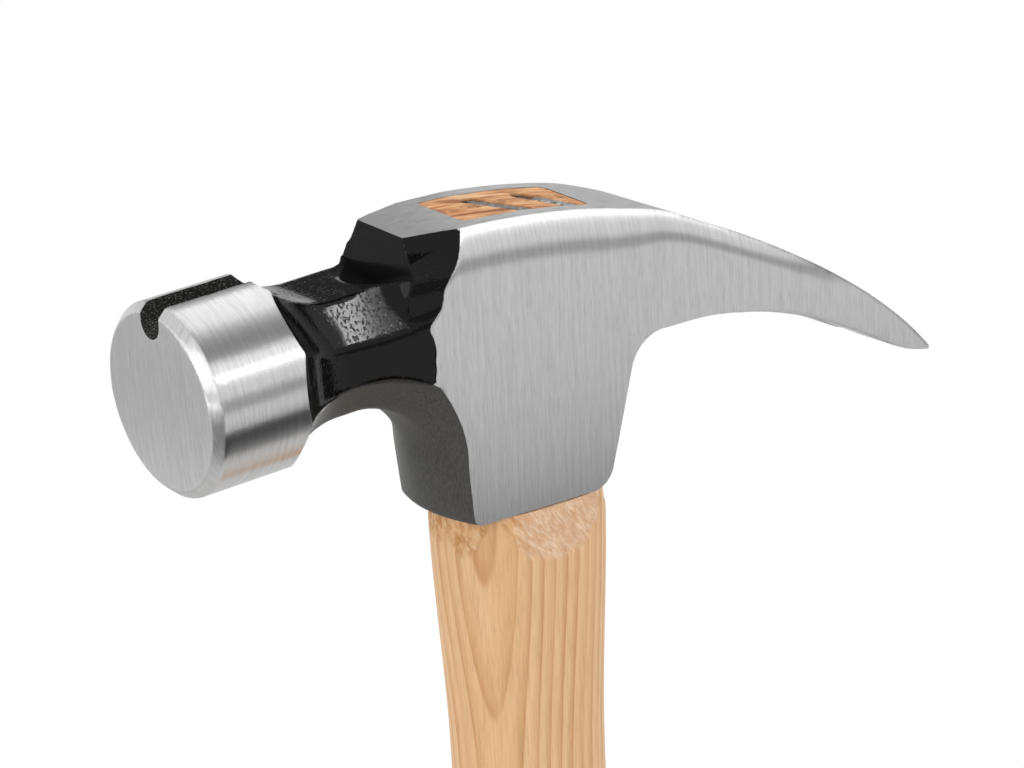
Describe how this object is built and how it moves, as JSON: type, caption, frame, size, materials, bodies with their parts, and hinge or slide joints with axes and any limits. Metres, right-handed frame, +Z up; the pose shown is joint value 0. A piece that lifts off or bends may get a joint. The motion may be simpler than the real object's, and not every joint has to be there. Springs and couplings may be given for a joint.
{
  "type": "framing hammer",
  "caption": "Wood-handled framing hammer: forged head with round striking poll, magnetic nail groove and straight rip claw, wedged on an oval hickory handle.",
  "frame": {"origin": "middle of the flat foot of the butt", "axes": "+Z up the handle towards the head, -X towards the striking face, +X towards the claw"},
  "size_m": [0.1513, 0.032, 0.4073],
  "materials": {
    "head_steel": "brushed on the poll, cheeks, top and claw; black paint on the neck, groove and skirt front",
    "hickory": "clear satin lacquer, rasped under the head",
    "wedge_wood": "end grain ground flush with the head",
    "wedge_steel": "dark mild steel ground flush with the head",
    "magnet_nickel": "nickel plate"
  },
  "bodies": {
    "root": {"head": "head_steel", "handle": "hickory", "wood_wedge": "wedge_wood", "steel_wedge_front": "wedge_steel", "steel_wedge_rear": "wedge_steel", "nail_magnet": "magnet_nickel"}
  },
  "joints": []
}
